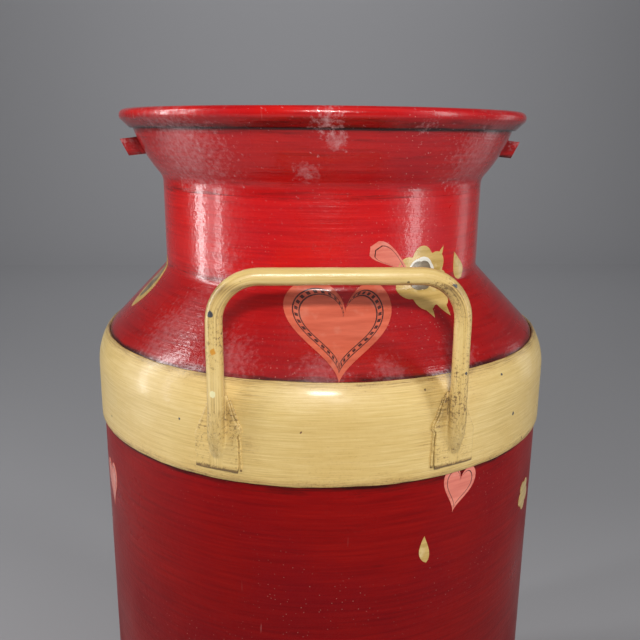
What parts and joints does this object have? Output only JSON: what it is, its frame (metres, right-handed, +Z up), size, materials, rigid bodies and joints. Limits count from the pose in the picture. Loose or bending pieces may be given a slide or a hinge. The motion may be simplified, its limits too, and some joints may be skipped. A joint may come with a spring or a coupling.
{
  "type": "milk can",
  "caption": "Sheet-steel milk can with a flared mouth, wide neck, hooped shoulder, two fixed rod handles, strap lugs and a lift-out plug lid.",
  "frame": {"origin": "centre of the standing face under the foot hoop", "axes": "+Z up along the can's axis, -Y towards the front handle, +X towards the right-hand lug"},
  "size_m": [0.2696, 0.2696, 0.483],
  "materials": {
    "red_enamel": "gloss brushed enamel, worn",
    "cream_glaze": "satin cream paint under a brown glaze",
    "bare_tin": "dull tinned steel"
  },
  "bodies": {
    "can": {"body_shell": "red_enamel", "bottom_head": "bare_tin", "foot_hoop": "cream_glaze", "breast": "red_enamel", "neck": "red_enamel", "mouth_bowl": "red_enamel", "rim_wire": "bare_tin", "shoulder_hoop": "cream_glaze", "front_handle": "cream_glaze", "back_handle": "cream_glaze", "left_lug": "red_enamel", "right_lug": "red_enamel"},
    "lid": {"lid_plug": "red_enamel", "lid_flare": "red_enamel", "lid_wire": "bare_tin", "lid_handle": "cream_glaze"}
  },
  "joints": [
    {"name": "lid_lift", "type": "slide", "parent": "can", "child": "lid", "axis": [0, 0, 1], "range_m": [0, 0.12]}
  ]
}
